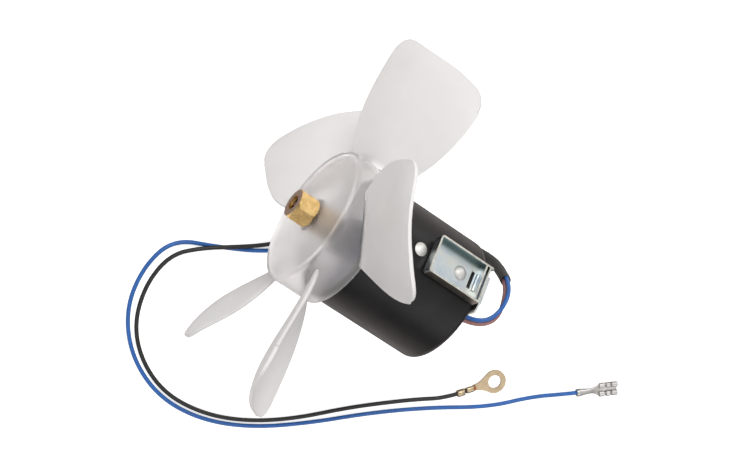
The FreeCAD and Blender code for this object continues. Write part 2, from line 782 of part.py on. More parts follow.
def cord_path(name, points):
    edges = []
    radii = []
    start = points[0]
    for before, corner, after in zip(points, points[1:], points[2:]):
        back = before - corner
        ahead = after - corner
        turn = math.pi - back.getAngle(ahead)
        reach = 0.45 * min(back.Length, ahead.Length)
        radius = reach / math.tan(turn / 2)
        radii.append(round(radius, 1))
        back.normalize()
        ahead.normalize()
        first = corner + back * reach
        last = corner + ahead * reach
        inward = (back + ahead).normalize()
        sagitta = radius / math.cos(turn / 2) - radius
        edges.append(Part.LineSegment(start, first).toShape())
        edges.append(Part.Arc(first, corner + inward * sagitta, last).toShape())
        start = last
    edges.append(Part.LineSegment(start, points[-1]).toShape())
    print(name, "bend radii", radii)
    return Part.Wire(edges)


def cord(name, points, radius):
    path = cord_path(name, points)
    direction = points[1] - points[0]
    profile = Part.Wire(Part.Circle(points[0], direction, radius).toShape())
    tube = path.makePipeShell([profile], True, False)
    print(name, "length", round(path.Length, 1), "volume ratio",
          round(tube.Volume / (math.pi * radius * radius * path.Length), 4))
    return tube


def lead_sleeve():
    outer = cord("sleeve outside", drop_centre, sleeve_bore + sleeve_wall)
    inner = cord("sleeve bore", drop_centre, sleeve_bore)
    box = outer.BoundBox
    span = block(box.XMin, box.XMax, box.YMin, box.YMax, sleeve_bottom_z, sleeve_top_z)
    return outer.cut(inner).common(span)


def lead_splice():
    start, end = splice_ends()
    return Part.makeCylinder(splice_radius, (end - start).Length, start, end - start)


def set_along(shape, start, heading):
    result = shape.copy()
    result.rotate(ORIGIN, V(0, 0, 1), math.degrees(math.atan2(heading[1], heading[0])))
    result.translate(start)
    return result


def crimp():
    barrel = Part.makeCylinder(crimp_radius, crimp_length, ORIGIN, AXIS)
    pinch = Part.makeCylinder(crimp_radius * 0.5, crimp_length * 0.45,
                              V(crimp_length * 0.3, 0, crimp_radius * 1.25), AXIS)
    return barrel.cut(pinch)


def ring_terminal():
    low = -crimp_radius
    neck = block(crimp_length - 1, ring_reach, -ring_neck_width / 2, ring_neck_width / 2,
                 low, low + ring_thickness)
    disc = Part.makeCylinder(ring_outer_radius, ring_thickness, V(ring_reach, 0, low))
    hole = Part.makeCylinder(ring_hole_radius, ring_thickness, V(ring_reach, 0, low))
    body = crimp().multiFuse([neck, disc]).cut(hole)
    return set_along(body, black_end, ring_heading)


def spade_terminal():
    low = -crimp_radius
    box_start = spade_length - spade_box_length
    neck = block(crimp_length - 1, box_start + 1, -spade_neck_width / 2, spade_neck_width / 2,
                 low, low + spade_sheet)
    half = spade_width / 2
    outer = block(box_start, spade_length, -half, half, low, low + spade_box_height)
    inner = block(box_start, spade_length, -half + spade_sheet, half - spade_sheet,
                  low + spade_sheet, low + spade_box_height - spade_sheet)
    mouth = block(box_start, spade_length, -half + spade_lip, half - spade_lip,
                  low + spade_sheet, low + spade_box_height)
    box = outer.cut(inner).cut(mouth)
    return set_along(crimp().multiFuse([neck, box]), blue_end, spade_heading)


nodes = {
    "can": can(),
    "front_plate": front_plate(),
    "front_bearing": bearing(plate_rear_x, 1),
    "rear_bearing": bearing(rear_inner_x, -1),
    "front_oil_felt": felt(plate_rear_x, 1),
    "rear_oil_felt": felt(rear_inner_x, -1),
    "front_bearing_retainer": retainer(plate_rear_x, 1),
    "rear_bearing_retainer": retainer(rear_inner_x, -1),
    "magnet_left": magnet(fixing_angle - 90),
    "magnet_right": magnet(fixing_angle + 90),
    "magnet_spring_upper": magnet_spring(fixing_angle),
    "magnet_spring_lower": magnet_spring(fixing_angle + 180),
    "can_rivet_upper": can_rivet(fixing_angle),
    "can_rivet_lower": can_rivet(fixing_angle + 180),
    "brush_plate": brush_plate(),
    "brush_box_upper": brush_box(90),
    "brush_box_lower": brush_box(270),
    "brush_spring_upper": brush_spring(90),
    "brush_spring_lower": brush_spring(270),
    "brush_upper": brush(90),
    "brush_lower": brush(270),
    "blue_lead_tag": lead_tag(blue_y),
    "brown_lead_tag": lead_tag(brown_y),
    "bracket_strap": bracket_strap(),
    "mounting_bracket": mounting_bracket(),
    "bracket_rivet": bracket_rivet(),
    "grommet": grommet(),
    "shaft": shaft(),
    "armature_core": armature_core(),
    "armature_winding": armature_winding(),
    "commutator": commutator(),
    "front_spacer": front_spacer(),
    "front_thrust_washer": thrust_washer(plate_rear_x - retainer_thickness - thrust_gap, -1),
    "rear_thrust_washer": thrust_washer(rear_inner_x + retainer_thickness + thrust_gap, 1),
    "collet": collet(),
    "collet_nut": collet_nut(),
    "fan": fan(),
    "blue_lead": cord("blue lead", blue_route(), wire_radius),
    "brown_lead": cord("brown lead", brown_route(), wire_radius),
    "black_lead": cord("black lead", black_route(), wire_radius),
    "lead_sleeve": lead_sleeve(),
    "lead_splice": lead_splice(),
    "ring_terminal": ring_terminal(),
    "spade_terminal": spade_terminal(),
}

os.makedirs("parts", exist_ok=True)
for node, shape in nodes.items():
    box = shape.BoundBox
    print(node, "valid", shape.isValid(), "solids", len(shape.Solids), "volume", round(shape.Volume, 2),
          "x", round(box.XMin, 1), round(box.XMax, 1))
    shape.exportStep("parts/" + node + ".step")
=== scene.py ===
import json
import math

import bpy
from mathutils import Matrix, Vector


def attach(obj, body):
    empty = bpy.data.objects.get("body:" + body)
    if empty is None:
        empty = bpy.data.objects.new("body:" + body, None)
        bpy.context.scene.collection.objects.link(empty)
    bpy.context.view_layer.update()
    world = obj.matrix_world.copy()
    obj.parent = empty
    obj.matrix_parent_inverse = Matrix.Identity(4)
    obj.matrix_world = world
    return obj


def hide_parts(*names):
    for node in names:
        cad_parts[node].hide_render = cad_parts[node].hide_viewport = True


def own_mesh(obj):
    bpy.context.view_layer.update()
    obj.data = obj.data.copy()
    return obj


# Heater fan motor, dressed for a studio picture. Metres, in the CAD part's own frame: +X runs along the
# motor's axis towards the fan, and the leads lie on a surface below it.

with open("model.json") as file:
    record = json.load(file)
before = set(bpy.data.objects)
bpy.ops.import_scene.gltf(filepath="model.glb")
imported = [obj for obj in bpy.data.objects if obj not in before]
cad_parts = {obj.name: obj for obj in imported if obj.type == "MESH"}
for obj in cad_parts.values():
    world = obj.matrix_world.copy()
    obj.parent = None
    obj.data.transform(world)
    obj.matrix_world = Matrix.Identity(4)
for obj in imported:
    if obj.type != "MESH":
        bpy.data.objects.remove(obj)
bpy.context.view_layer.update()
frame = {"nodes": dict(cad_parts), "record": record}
nodes = frame["nodes"]
forward = Vector((1, 0, 0))
sideways = Vector((0, 1, 0))
upward = Vector((0, 0, 1))
millimetre = 0.001

# Camera, fitted to the photograph. The picture is 746 by 469 px, and the aim lies at aim_px in it.
photo_width = 746
photo_height = 469
sensor_width = 36.0
focal_px = 2155.6
aim = Vector((0.020, 0, 0))
aim_px = (362.62, 247.99)
camera_distance = 1.01174
camera_back = Vector((0.379556, -0.019779, 0.924957)).normalized()
camera_up = Vector((0.508783, -0.830554, -0.22654))
nearest_seen = 0.01
farthest_seen = 20

# Lamps, each with a name, a place, a width and a power
lamps = [
    ("key", (0.7, -0.9, 1.3), 0.9, 15),
    ("fill", (-0.9, 0.6, 1.0), 1.2, 4.5),
    ("front", (0.8, 0.9, 0.9), 1.2, 2.5),
    ("rim", (-0.3, -1.4, 0.35), 0.7, 5)]

# Surroundings. A sky level is a height, from 0 at the horizon to 1 straight above, and its brightness.
sky_levels = [(0.0, 0.24), (0.30, 0.22), (0.45, 0.42), (0.58, 0.85), (0.85, 0.95), (1.0, 0.60)]
floor_size = 6
floor_gap = 0.0001
floor_white = (0.82, 0.82, 0.82)
floor_roughness = 0.9
floor_glow = 0.60
# Painted glow that metal and enamel mirror in the floor, grey near the motor and pale farther out
near_floor_mirror = (0.36, 0.335, 0.315)
far_floor_mirror = (0.95, 0.88, 0.84)
floor_mirror_zone = (0.06, 0.12)

# Finishes. A zone is where a change starts and where it is complete.
noise_roughness = 0.55
noise_zone = (0.3, 0.7)
bevel_samples = 6
edge_match_zone = (0.80, 0.98)
metal_mottle = (0.82, 1.10)
metal_gloss_change = 0.06
plastic_mottle = (0.88, 1.12)
plastic_gloss_change = 0.07
# Zones of painted shade on the front plate behind the fan's cup, darkest on its upper side
front_plate_zone = (0.020, 0.024)
plate_shade_zone = (0.004, 0.016)
nut_front_zone = (0.75, 0.95)
# Zones of the collet's painted shade and of its painted slit shadows
collet_zone = (0.030, 0.034)
slit_count = 6
slit_zone = (0.25, 0.55)
blade_zone = (0.0355, 0.0385)
# Width of the painted shade along the fan's edges
blade_edge = 0.0009

# Bracket tray, by its directions out from the can and across the tray
tray_outward = (0, -0.469, 0.883)
tray_across = (0, 0.883, 0.469)
tray_half_width = 0.0098
tray_top = 0.03785
tray_edge = 0.0004
# The fold and side zones place painted shade along the tray's fold and on its outer sides
tray_fold_shade_zone = (-0.0090, -0.0062)
tray_side_shade_zone = (tray_half_width - 0.0001, tray_half_width - 0.00003)
strap_end_zone = (tray_half_width + 0.0001, tray_half_width + 0.0002)
tray_rim_zone = (tray_top - 0.0003, tray_top - 0.0001)

# Leads
wire_radius = 0.0011
wire_pair_spacing = 0.0023
wire_roundness = 5
curve_steps = 10
surface_z = -0.1016
lead_z = surface_z + wire_radius
terminal_z = surface_z + 0.0018
lead_run_in = 0.009
splice_start = 0.013
splice_length = 0.006
ring_heading = Vector((-0.680, -0.733, 0)).normalized()
spade_heading = Vector((-0.807, -0.591, 0)).normalized()
pair_side = Vector((-0.548, 0.837, 0))
brown_bend_shift = Vector((0, 0.00045, 0))

drop_centre = [
    Vector((-0.0603, -0.0206, -0.0042)), Vector((-0.0596, -0.0286, -0.0270)),
    Vector((-0.0601, -0.0296, -0.0590)), Vector((-0.0566, -0.0271, -0.0820)),
    Vector((-0.0443, -0.0189, lead_z))]
blue_loop = [
    Vector((-0.0272, 0.00035, 0.0175)), Vector((-0.0395, 0.00055, 0.0168)),
    Vector((-0.0567, -0.0062, 0.0027))]
brown_loop = [
    Vector((-0.0272, 0.00265, 0.0175)), Vector((-0.0414, 0.0025, 0.0155)),
    Vector((-0.0595, -0.0058, 0.0007)), Vector((-0.0589, -0.0201, -0.0073))]
blue_surface = [
    (-0.0209, -0.0049), (0.0011, 0.0133), (0.0211, 0.0307), (0.0449, 0.0421), (0.0671, 0.0507),
    (0.0723, 0.0708), (0.0677, 0.0934), (0.0516, 0.1124), (0.0277, 0.1233), (0.0013, 0.1226),
    (-0.0251, 0.1125), (-0.0515, 0.0944), (-0.0770, 0.0733), (-0.1046, 0.0538), (-0.1339, 0.0365),
    (-0.1519, 0.0194)]
blue_end = Vector((-0.1740, 0.0035, terminal_z))
# The third value is the black lead's lift, which is over_blue where it rides over the blue lead
over_blue = 0.0029
black_surface = [
    (-0.0302, -0.0082, 0), (-0.0174, 0.0001, over_blue), (-0.0041, 0.0059, over_blue),
    (0.0087, 0.0140, 0), (0.0242, 0.0283, 0), (0.0389, 0.0376, over_blue), (0.0520, 0.0461, over_blue),
    (0.0638, 0.0578, 0), (0.0662, 0.0773, 0), (0.0597, 0.0977, 0), (0.0450, 0.1122, 0),
    (0.0247, 0.1204, 0), (0.0013, 0.1191, 0), (-0.0208, 0.1110, 0), (-0.0427, 0.0968, 0),
    (-0.0648, 0.0770, 0), (-0.0852, 0.0613, 0), (-0.0974, 0.0526, 0)]
black_end = Vector((-0.1141, 0.0389, terminal_z))

# Sleeve, pressed to the pair of wires
sleeve_top_z = -0.0165
sleeve_bottom_z = -0.084
sleeve_half_width = 0.0029
sleeve_half_depth = 0.0026
sleeve_wall = 0.0004
sleeve_sides = 32
crease_depth = 0.02
crease_step = 2.1

# Terminals, in millimetres from the end of their wire. A station is a place along the wire, half the
# width and half the height there, and how far its middle lies above the wire's.
ring_wire = (black_end, ring_heading)
spade_wire = (blue_end, spade_heading)
loft_sides = 20
insulation_stations = [(-0.6, 1.1, 1.1, 0), (4.2, 1.1, 1.1, 0), (4.9, 0.9, 0.9, -0.2)]

ring_centre = 21.4
ring_radius = 6.5
ring_hole = 3.6
ring_join_angle = 128
ring_steps = 32
neck_start = 8.8
neck_half_width = 1.6
neck_steps = 12
plate_low = -1.8
plate_thickness = 0.8
ring_grip = [(-0.9, 1.75, 1.7, 0.1), (-0.6, 1.95, 1.9, 0.1), (2.9, 1.95, 1.9, 0.1), (3.2, 1.75, 1.7, 0.1)]
ring_web = [(2.8, 1.4, 0.4, -1.4), (5.2, 1.4, 0.4, -1.4)]
ring_crimp = [
    (4.7, 1.55, 1.2, -0.4), (5.0, 1.75, 1.4, -0.4), (8.6, 1.65, 1.3, -0.45), (9.3, 1.45, 0.9, -0.8),
    (10.4, 1.6, 0.45, -1.3)]

strand_count = 5
strand_spacing = 0.42
strand_start = 8.6
strand_stop = 10.3
strand_shortfall = 0.3
strand_radius = 0.22
strand_tip_radius = 0.2
strand_lift = 0.1
strand_drop = 0.16
strand_sides = 8

spade_barrel = [
    (-0.8, 1.95, 1.8, 0.1), (-0.4, 2.15, 1.95, 0.15), (1.0, 2.1, 1.9, 0.1), (3.5, 1.75, 1.6, -0.1),
    (6.5, 1.5, 1.2, -0.5), (9.5, 1.7, 0.8, -0.9), (11.3, 2.4, 0.55, -1.2), (12.8, 3.5, 0.4, -1.35),
    (13.6, 3.8, 0.3, -1.45)]
spade_plate = [(13.0, 3.75, 0.3, -1.45), (23.7, 3.75, 0.3, -1.45)]
roll_lengths = [(13.0, 15.9), (17.0, 19.2), (20.3, 23.7)]
roll_across = 2.35
roll_half_width = 1.5
roll_half_height = 1.25
roll_lift = -0.55
roll_bevel = 0.15
# The dark piece inside the rolled edges, which is painted shade
roll_inside_shade = [(13.4, 1.1, 0.85, -0.6), (23.4, 1.1, 0.85, -0.6)]

# Brush springs
spring_radius = 0.0021
spring_wire = 0.0003
spring_turns = 5
steps_per_turn = 20
spring_sides = 8

# Meshes made here are sharp where faces meet at this angle or more
sharp_angle = math.radians(40)


# Shader nodes. The first argument is the material, or the world, whose nodes grow.
def plug(made, socket, value):
    # A socket takes another node's output, a colour, or a number or direction
    if isinstance(value, bpy.types.NodeSocket):
        made.node_tree.links.new(value, socket)
    elif socket.type == "RGBA":
        socket.default_value = (*value, 1)
    else:
        socket.default_value = value


def add_node(made, kind, inputs=None, **settings):
    node = made.node_tree.nodes.new(kind)
    for setting, value in settings.items():
        setattr(node, setting, value)
    for key, value in (inputs or {}).items():
        plug(made, node.inputs[key], value)
    return node


def set_input(made, name, value):
    plug(made, made.node_tree.nodes["Principled BSDF"].inputs[name], value)


def material(name, metallic=0):
    made = bpy.data.materials.new(name)
    made.use_nodes = True
    set_input(made, "Metallic", metallic)
    return made


def object_coordinates(made):
    return add_node(made, "ShaderNodeTexCoord").outputs["Object"]


def face_normal(made):
    return add_node(made, "ShaderNodeNewGeometry").outputs["True Normal"]


def noise(made, scale, detail):
    inputs = {"Vector": object_coordinates(made), "Scale": scale, "Detail": detail,
              "Roughness": noise_roughness}
    return add_node(made, "ShaderNodeTexNoise", inputs).outputs["Fac"]


def spread(made, value, zone, low=0, high=1):
    # Low up to the zone's start, high from its end on, and a straight change in between
    start, end = zone
    inputs = {"Value": value, "From Min": start, "From Max": end, "To Min": low, "To Max": high}
    return add_node(made, "ShaderNodeMapRange", inputs).outputs["Result"]


def between(made, share, first, second):
    return spread(made, share, (0, 1), first, second)


def calculate(made, operation, *values, clamp=False):
    inputs = dict(enumerate(values))
    return add_node(made, "ShaderNodeMath", inputs, operation=operation, use_clamp=clamp).outputs[0]


def size_of(made, value):
    return calculate(made, "ABSOLUTE", value)


def dot(made, first, second):
    inputs = {0: first, 1: second}
    return add_node(made, "ShaderNodeVectorMath", inputs, operation="DOT_PRODUCT").outputs["Value"]


def along(made, direction):
    return dot(made, object_coordinates(made), direction)


def axis_distance(made):
    inputs = {0: object_coordinates(made), 1: (0, 1, 1)}
    square_on = add_node(made, "ShaderNodeVectorMath", inputs, operation="MULTIPLY")
    inputs = {0: square_on.outputs["Vector"]}
    return add_node(made, "ShaderNodeVectorMath", inputs, operation="LENGTH").outputs["Value"]


def edge_share(made, radius):
    # How far a rounded normal turns from the flat one: 0 on a face, more along an edge
    rounded = add_node(made, "ShaderNodeBevel", {"Radius": radius}, samples=bevel_samples)
    match = dot(made, rounded.outputs["Normal"], face_normal(made))
    return spread(made, match, edge_match_zone, 1, 0)


def colours(made, value, stops, interpolation="LINEAR"):
    node = add_node(made, "ShaderNodeValToRGB", {"Fac": value})
    ramp = node.color_ramp
    ramp.interpolation = interpolation
    while len(ramp.elements) < len(stops):
        ramp.elements.new(0.5)
    for element, (position, colour) in zip(ramp.elements, stops):
        element.position = position
        element.color = (*colour, 1)
    return node.outputs["Color"]


def mixed(made, share, first, second):
    inputs = {"Factor": share, "A": first, "B": second}
    return add_node(made, "ShaderNodeMix", inputs, data_type="RGBA").outputs["Result"]


def shade(colour, share):
    return tuple(min(1, part * share) for part in colour)


def mottled(made, dark, light, scale, detail=5, zone=noise_zone):
    start, end = zone
    return colours(made, noise(made, scale, detail), [(start, dark), (end, light)])


def uneven_gloss(made, scale, detail, low, high):
    set_input(made, "Roughness", spread(made, noise(made, scale, detail), noise_zone, low, high))


def grain(made, scale, detail, strength, depth):
    inputs = {"Height": noise(made, scale, detail), "Strength": strength, "Distance": depth}
    set_input(made, "Normal", add_node(made, "ShaderNodeBump", inputs).outputs["Normal"])


# Finishes
def black_enamel():
    made = material("black_steel")
    dark = (0.010, 0.0095, 0.0095)
    light = (0.015, 0.014, 0.014)
    set_input(made, "Base Color", mottled(made, dark, light, scale=60, detail=6, zone=(0.35, 0.75)))
    set_input(made, "Specular IOR Level", 0.16)
    uneven_gloss(made, scale=140, detail=5, low=0.29, high=0.38)
    grain(made, scale=1400, detail=2, strength=0.12, depth=0.0004)
    return made


def zinc_plate():
    # Bluish inside the tray, with painted shade along its fold (teal) and outside it (brownish), and
    # bright sheared rims and worn edges that also carry painted highlight. The strap's end beside the
    # tray is painted paler, as painted light, and the front plate behind the fan's cup has painted shade,
    # darkest on its top.
    made = material("zinc_steel")
    clouds = [(0.32, (0.50, 0.58, 0.64)), (0.50, (0.62, 0.67, 0.69)), (0.68, (0.68, 0.69, 0.63))]
    inside = colours(made, noise(made, scale=130, detail=5), clouds)
    # Painted shade: teal along the tray's fold, brownish on its outer sides
    fold_shade = (0.15, 0.21, 0.21)
    outside_shade = (0.19, 0.172, 0.152)
    # Painted light: the strap's end is made paler and less metallic, as if lit
    strap_end_painted_light = (0.55, 0.55, 0.50)
    # Bright rims and edges: bare sheared metal and wear, with painted highlight on top
    sheared_and_highlight = mottled(made, (0.52, 0.51, 0.45), (0.80, 0.79, 0.72), scale=700, detail=4,
                      zone=(0.35, 0.65))
    edge = (0.80, 0.79, 0.73)
    # Painted shade on the front plate behind the fan's cup, darkest on its upper side
    plate_shade_below = (0.34, 0.33, 0.35)
    plate_shade_above = (0.02, 0.02, 0.06)

    across = along(made, tray_across)
    offset = size_of(made, across)
    at_strap = spread(made, offset, strap_end_zone)
    face = mixed(made, spread(made, across, tray_fold_shade_zone), fold_shade, inside)
    face = mixed(made, spread(made, offset, tray_side_shade_zone), face, outside_shade)
    face = mixed(made, at_strap, face, strap_end_painted_light)
    face = mixed(made, spread(made, along(made, tray_outward), tray_rim_zone), face, sheared_and_highlight)
    face = mixed(made, edge_share(made, tray_edge), face, edge)
    plate = mixed(made, spread(made, along(made, upward), plate_shade_zone), plate_shade_below, plate_shade_above)
    at_plate = spread(made, along(made, forward), front_plate_zone)
    set_input(made, "Base Color", mixed(made, at_plate, face, plate))
    set_input(made, "Metallic", between(made, at_strap, 1, 0.25))
    uneven_gloss(made, scale=300, detail=6, low=0.28, high=0.40)
    grain(made, scale=900, detail=3, strength=0.08, depth=0.0003)
    return made


def worn_metal(name, roughness, grain_scale=700):
    made = material(name, metallic=1)
    uneven_gloss(made, scale=380, detail=5, low=roughness - metal_gloss_change,
                 high=roughness + metal_gloss_change)
    grain(made, scale=grain_scale, detail=3, strength=0.10, depth=0.0003)
    return made


def plain_metal(name, colour, roughness):
    made = worn_metal(name, roughness)
    dark, light = (shade(colour, share) for share in metal_mottle)
    set_input(made, "Base Color", mottled(made, dark, light, scale=220))
    return made


def star_slits(made):
    # 1 on thin slits that run out from the motor's axis, and 0 between them: where painted slit shadow
    # goes
    split = add_node(made, "ShaderNodeSeparateXYZ", {0: object_coordinates(made)})
    turn = calculate(made, "ARCTAN2", split.outputs["Z"], split.outputs["Y"])
    wave = calculate(made, "SINE", calculate(made, "MULTIPLY", turn, slit_count / 2))
    return spread(made, size_of(made, wave), slit_zone, 1, 0)


def nut_brass():
    # The turned front face is browner than the flats
    made = worn_metal("nut_brass", 0.28, grain_scale=500)
    flats = mottled(made, (0.80, 0.53, 0.20), (1.0, 0.72, 0.33), scale=220)
    front = (0.66, 0.46, 0.36)
    at_front = spread(made, dot(made, face_normal(made), forward), nut_front_zone)
    set_input(made, "Base Color", mixed(made, at_front, flats, front))
    return made


def shaded_brass():
    # The collet has painted shade, as it lies in the nut's shade, and painted shadow in dark slits. The
    # brass behind it is plain.
    made = worn_metal("brass", 0.36)
    plain = mottled(made, (0.40, 0.31, 0.20), (0.52, 0.41, 0.27), scale=220)
    jaw_shade = (0.30, 0.20, 0.14)
    slit_shadow = (0.02, 0.012, 0.01)
    collet = mixed(made, star_slits(made), jaw_shade, slit_shadow)
    at_collet = spread(made, along(made, forward), collet_zone)
    set_input(made, "Base Color", mixed(made, at_collet, plain, collet))
    return made


def frosted_plastic():
    # The thin cup is clearer than the thicker, milkier blades. Their edges get painted shade.
    made = material("fan_plastic")
    cup = (0.925, 0.905, 0.897)
    milky = mottled(made, (0.775, 0.752, 0.742), (0.825, 0.810, 0.800), scale=35)
    # Painted shade along the plastic's edges
    edge = (0.62, 0.61, 0.605)
    at_blade = spread(made, axis_distance(made), blade_zone)
    body = mixed(made, at_blade, cup, milky)
    set_input(made, "Base Color", mixed(made, edge_share(made, blade_edge), body, edge))
    set_input(made, "Transmission Weight", between(made, at_blade, 0.90, 0.20))
    set_input(made, "Roughness", between(made, at_blade, 0.30, 0.38))
    set_input(made, "IOR", 1.18)
    grain(made, scale=1100, detail=3, strength=0.05, depth=0.0003)
    return made


def soft_plastic(name, colour, roughness):
    made = material(name)
    dark, light = (shade(colour, share) for share in plastic_mottle)
    set_input(made, "Base Color", mottled(made, dark, light, scale=260))
    uneven_gloss(made, scale=420, detail=4, low=roughness - plastic_gloss_change,
                 high=roughness + plastic_gloss_change)
    grain(made, scale=800, detail=3, strength=0.12, depth=0.0003)
    return made


# Colour and roughness of the finishes that are the same all over
metals = {
    "spring_steel": ((0.45, 0.45, 0.46), 0.35),
    "rivet_steel": ((0.66, 0.65, 0.625), 0.60),
    "shaft_steel": ((0.46, 0.45, 0.45), 0.30),
    "lamination_steel": ((0.30, 0.30, 0.31), 0.5),
    "bronze": ((0.55, 0.36, 0.20), 0.5),
    "tinned_brass": ((0.60, 0.585, 0.56), 0.42),
    "enamelled_copper": ((0.50, 0.20, 0.08), 0.35),
    "commutator_copper": ((0.72, 0.40, 0.24), 0.35),
}
plastics = {
    "ferrite": ((0.05, 0.05, 0.055), 0.6),
    "carbon": ((0.03, 0.03, 0.03), 0.6),
    "phenolic": ((0.22, 0.10, 0.045), 0.55),
    "felt": ((0.42, 0.37, 0.28), 0.95),
    "blue_pvc": ((0.011, 0.098, 0.35), 0.38),
    "brown_pvc": ((0.27, 0.125, 0.115), 0.40),
    "black_pvc": ((0.008, 0.007, 0.006), 0.46),
    "sleeve_pvc": ((0.028, 0.027, 0.027), 0.5),
    "black_rubber": ((0.02, 0.02, 0.02), 0.65),
}
finishes = {
    "black_steel": black_enamel(),
    "zinc_steel": zinc_plate(),
    "brass": shaded_brass(),
    "nut_brass": nut_brass(),
    "fan_plastic": frosted_plastic(),
}
for slot, (colour, roughness) in metals.items():
    finishes[slot] = plain_metal(slot, colour, roughness)
for slot, (colour, roughness) in plastics.items():
    finishes[slot] = soft_plastic(slot, colour, roughness)

# Every solid of the CAD part gets the finish of its slot
for row in frame["record"]["subparts"]:
    shape = nodes[row["node"]]
    shape.data.materials.clear()
    shape.data.materials.append(finishes[row["material_slot"]])


# Leads, on the routes of the CAD tubes, apart from the loop, which keeps closer to the photograph
def run_in(end, heading):
    return end - heading * lead_run_in


def beside(points, side):
    return [point + pair_side * (side * wire_pair_spacing / 2) for point in points]


def brown_bend():
    return beside(drop_centre, 1)[1] + brown_bend_shift


def splice_ends():
    top = brown_bend()
    bottom = beside(drop_centre, 1)[2]
    down = (bottom - top).normalized()
    start = top + down * splice_start
    return start, start + down * splice_length


def blue_route():
    surface = [Vector((x, y, lead_z)) for x, y in blue_surface]
    return blue_loop + beside(drop_centre, -1) + surface + [run_in(blue_end, spade_heading), blue_end]


def brown_route():
    return brown_loop + [brown_bend(), splice_ends()[0]]


def black_route():
    surface = [Vector((x, y, lead_z + lift)) for x, y, lift in black_surface]
    end = [run_in(black_end, ring_heading), black_end]
    return [splice_ends()[1]] + beside(drop_centre, 1)[2:] + surface + end


def nurbs(name, points, radius):
    data = bpy.data.curves.new(name, "CURVE")
    data.dimensions = "3D"
    data.bevel_depth = radius
    data.bevel_resolution = wire_roundness
    data.resolution_u = curve_steps
    data.use_fill_caps = True
    spline = data.splines.new("NURBS")
    spline.points.add(len(points) - 1)
    for point, place in zip(spline.points, points):
        point.co = (*place, 1)
    spline.order_u = 3
    spline.use_endpoint_u = True
    made = bpy.data.objects.new(name, data)
    bpy.context.scene.collection.objects.link(made)
    return made


def lead(name, points, slot, node):
    made = nurbs(name, points, wire_radius)
    made.data.materials.append(finishes[slot])
    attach(made, "motor")
    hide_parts(node)
    return made


# Meshes, most of them drawn as rings of points that are joined by walls of faces
def spline_points(name, points):
    guide = nurbs(name, points, 0)
    mesh = bpy.data.meshes.new_from_object(guide)
    places = [vertex.co.copy() for vertex in mesh.vertices]
    bpy.data.objects.remove(guide)
    bpy.data.meshes.remove(mesh)
    return places


def mesh_piece(name, places, faces, slot):
    mesh = bpy.data.meshes.new(name)
    mesh.from_pydata([tuple(place) for place in places], [], faces)
    mesh.polygons.foreach_set("use_smooth", [True] * len(mesh.polygons))
    mesh.set_sharp_from_angle(angle=sharp_angle)
    mesh.materials.append(finishes[slot])
    made = bpy.data.objects.new(name, mesh)
    bpy.context.scene.collection.objects.link(made)
    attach(made, "motor")
    return made


def way_at(places, index):
    before = places[max(index - 1, 0)]
    after = places[min(index + 1, len(places) - 1)]
    return (after - before).normalized()


def oval(centre, across, over, sides):
    # Points round an oval whose half axes are the two vectors
    turns = [2 * math.pi * side / sides for side in range(sides)]
    return [centre + across * math.cos(turn) + over * math.sin(turn) for turn in turns]


def wall(rings, sides, first=0):
    faces = []
    for ring in range(rings - 1):
        for side in range(sides):
            a = first + ring * sides + side
            b = first + ring * sides + (side + 1) % sides
            faces.append((a, b, b + sides, a + sides))
    return faces


def capped_wall(rings, sides):
    last = (rings - 1) * sides
    return wall(rings, sides) + [tuple(reversed(range(sides))), tuple(range(last, last + sides))]


def joined(parts):
    places = []
    faces = []
    for more_places, more_faces in parts:
        start = len(places)
        places += more_places
        faces += [tuple(start + index for index in face) for face in more_faces]
    return places, faces


def oval_sleeve():
    # A thin sleeve that is wider across the pair of wires, with small creases along it
    centres = [place for place in spline_points("sleeve_guide", drop_centre)
               if sleeve_bottom_z <= place.z <= sleeve_top_z]
    rings = len(centres)
    places = []
    for inset in (0, sleeve_wall):
        for index, centre in enumerate(centres):
            way = way_at(centres, index)
            across = (pair_side - way * pair_side.dot(way)).normalized()
            over = way.cross(across)
            crease = 1 + crease_depth * math.sin(index * crease_step)
            half_width = (sleeve_half_width - inset) * crease
            half_depth = (sleeve_half_depth - inset) * crease
            places += oval(centre, across * half_width, over * half_depth, sleeve_sides)
    inner = rings * sleeve_sides
    faces = wall(rings, sleeve_sides)
    # The inner wall looks inwards, so its faces run the other way round
    faces += [(a, d, c, b) for a, b, c, d in wall(rings, sleeve_sides, inner)]
    for ring, turned_over in ((0, False), (rings - 1, True)):
        for side in range(sleeve_sides):
            a = ring * sleeve_sides + side
            b = ring * sleeve_sides + (side + 1) % sleeve_sides
            face = (a, inner + a, inner + b, b)
            faces.append(face[::-1] if turned_over else face)
    made = mesh_piece("oval_sleeve", places, faces, "sleeve_pvc")
    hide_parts("lead_sleeve")
    return made


# Terminals
def spot(wire, reach, across, lift):
    end, heading = wire
    side = upward.cross(heading)
    return end + (heading * reach + side * across + upward * lift) * millimetre


def loft(wire, stations, across=0, sides=loft_sides):
    side = upward.cross(wire[1])
    places = []
    for reach, half_width, half_height, lift in stations:
        centre = spot(wire, reach, across, lift)
        places += oval(centre, side * half_width * millimetre, upward * half_height * millimetre, sides)
    return places, capped_wall(len(stations), sides)


def ring_outline():
    # Half of the ring from its far end, then its neck, which narrows smoothly, and the same mirrored
    half = []
    for step in range(ring_steps + 1):
        turn = math.radians(ring_join_angle * step / ring_steps)
        half.append((ring_centre + ring_radius * math.cos(turn), ring_radius * math.sin(turn)))
    join_reach, join_width = half[-1]
    for step in range(1, neck_steps + 1):
        share = 1 - step / neck_steps
        half.append((neck_start + (join_reach - neck_start) * share,
                     neck_half_width + (join_width - neck_half_width) * share ** 2))
    return half + [(reach, -across) for reach, across in reversed(half[1:])]


